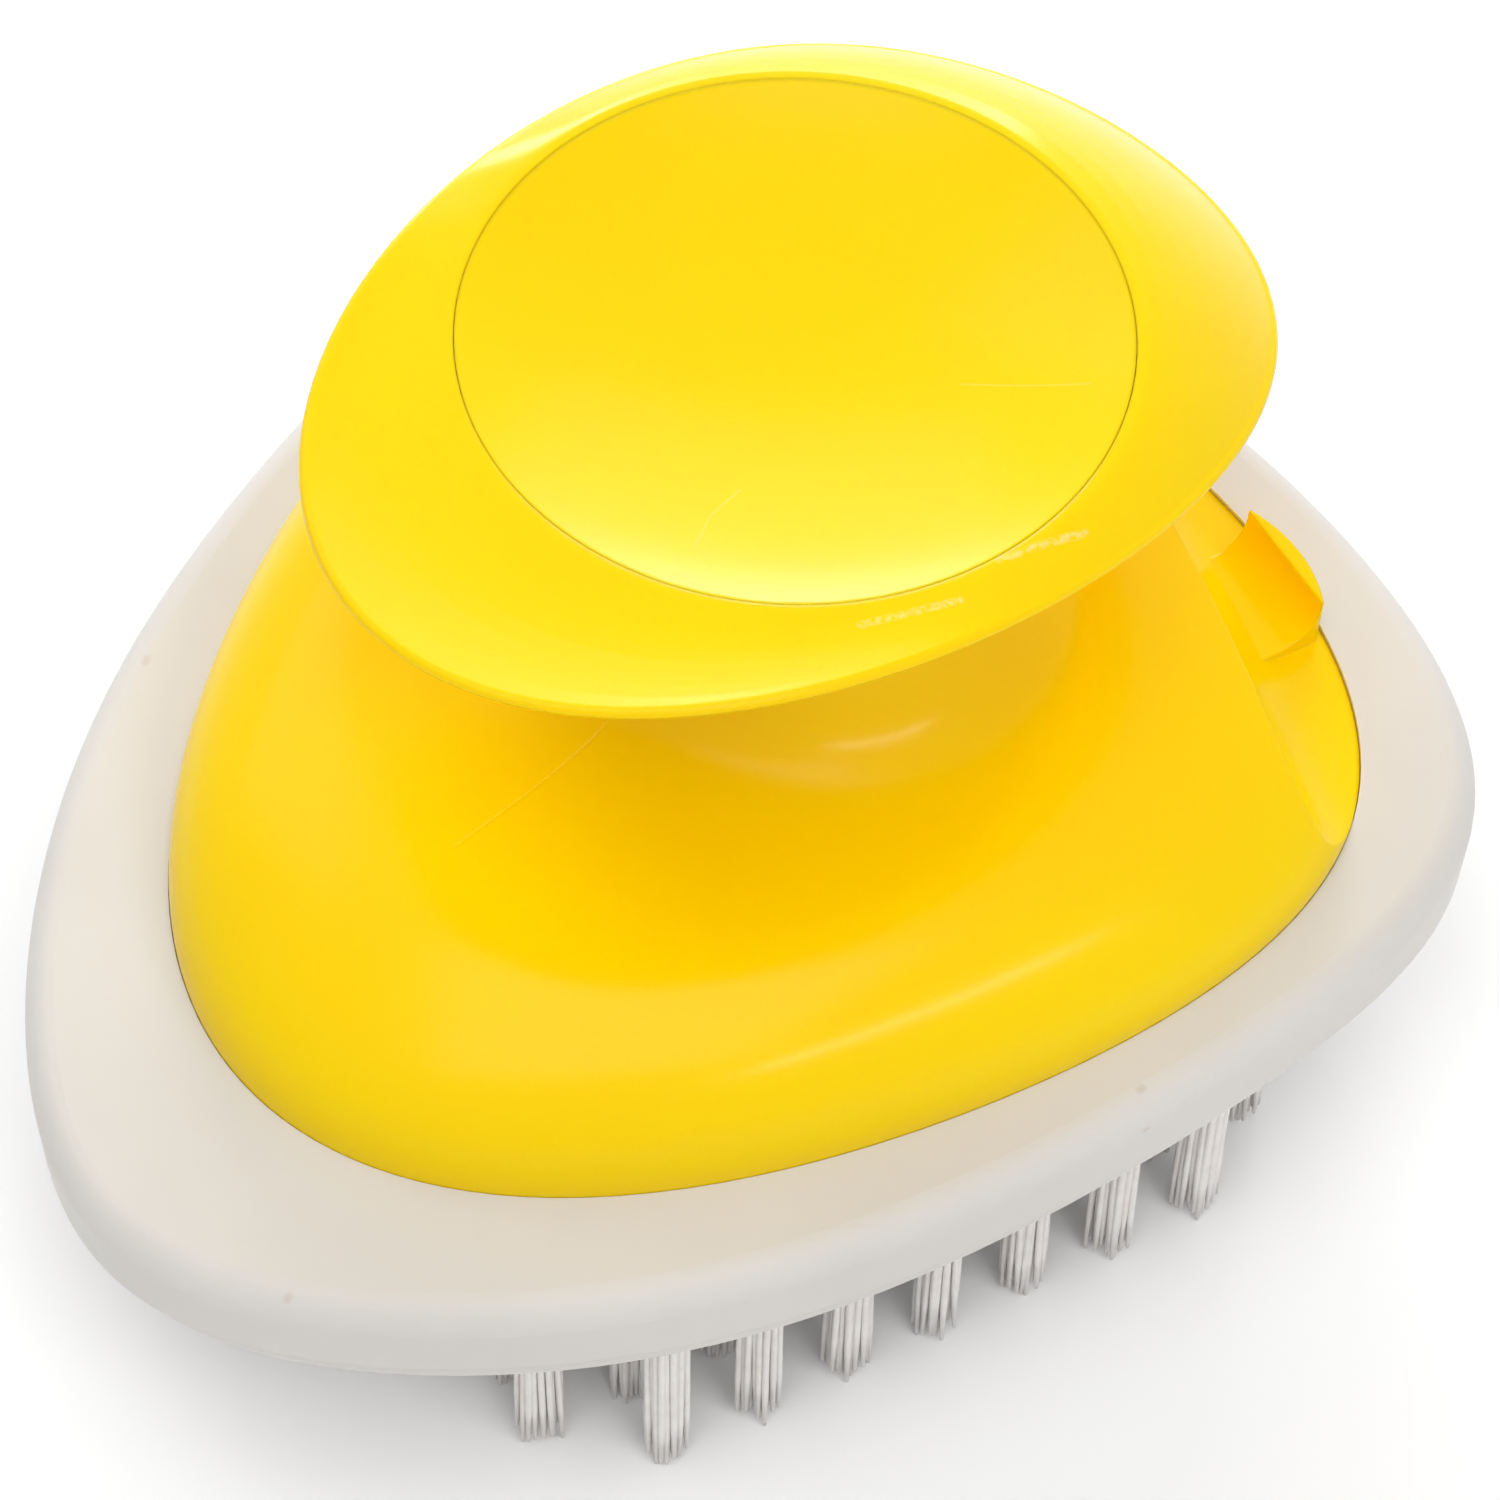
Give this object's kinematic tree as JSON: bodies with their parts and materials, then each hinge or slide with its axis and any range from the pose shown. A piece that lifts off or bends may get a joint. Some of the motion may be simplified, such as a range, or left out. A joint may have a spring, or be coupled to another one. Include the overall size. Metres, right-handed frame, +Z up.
{
  "type": "vegetable brush",
  "caption": "Palm-held scrubbing brush for vegetables: egg-shaped domed handle with a dished knob, a soft bumper rim, nylon tufts underneath and a small potato-eye scoop at the rear corner",
  "frame": {"origin": "under the middle of the rim, on the plane of the bristle tips that the brush stands on", "axes": "+X from the pointed nose to the blunt rear, the longest extent; +Z up through the knob, the shortest extent"},
  "size_m": [0.1038, 0.0898, 0.0667],
  "materials": {
    "yellow_plastic": "satin yellow moulding with a fine moulded grain",
    "white_soft": "matte warm white soft moulding",
    "white_plastic": "matte warm white moulding",
    "nylon": "translucent white nylon filament",
    "staple_wire": "plain flat wire"
  },
  "bodies": {
    "root": {"handle_body": "yellow_plastic", "palm_disc": "yellow_plastic", "rim_bumper": "white_soft", "bristle_plate": "white_plastic", "staples": "staple_wire", "tufts_right_1": "nylon", "tufts_right_2": "nylon", "tufts_right_3": "nylon", "tufts_right_4": "nylon", "tufts_right_5": "nylon", "tufts_right_6": "nylon", "tufts_right_7": "nylon", "tufts_right_8": "nylon", "tufts_right_9": "nylon", "tufts_left_1": "nylon", "tufts_left_2": "nylon", "tufts_left_3": "nylon", "tufts_left_4": "nylon", "tufts_left_5": "nylon", "tufts_left_6": "nylon", "tufts_left_7": "nylon", "tufts_left_8": "nylon", "tufts_left_9": "nylon"}
  },
  "joints": []
}
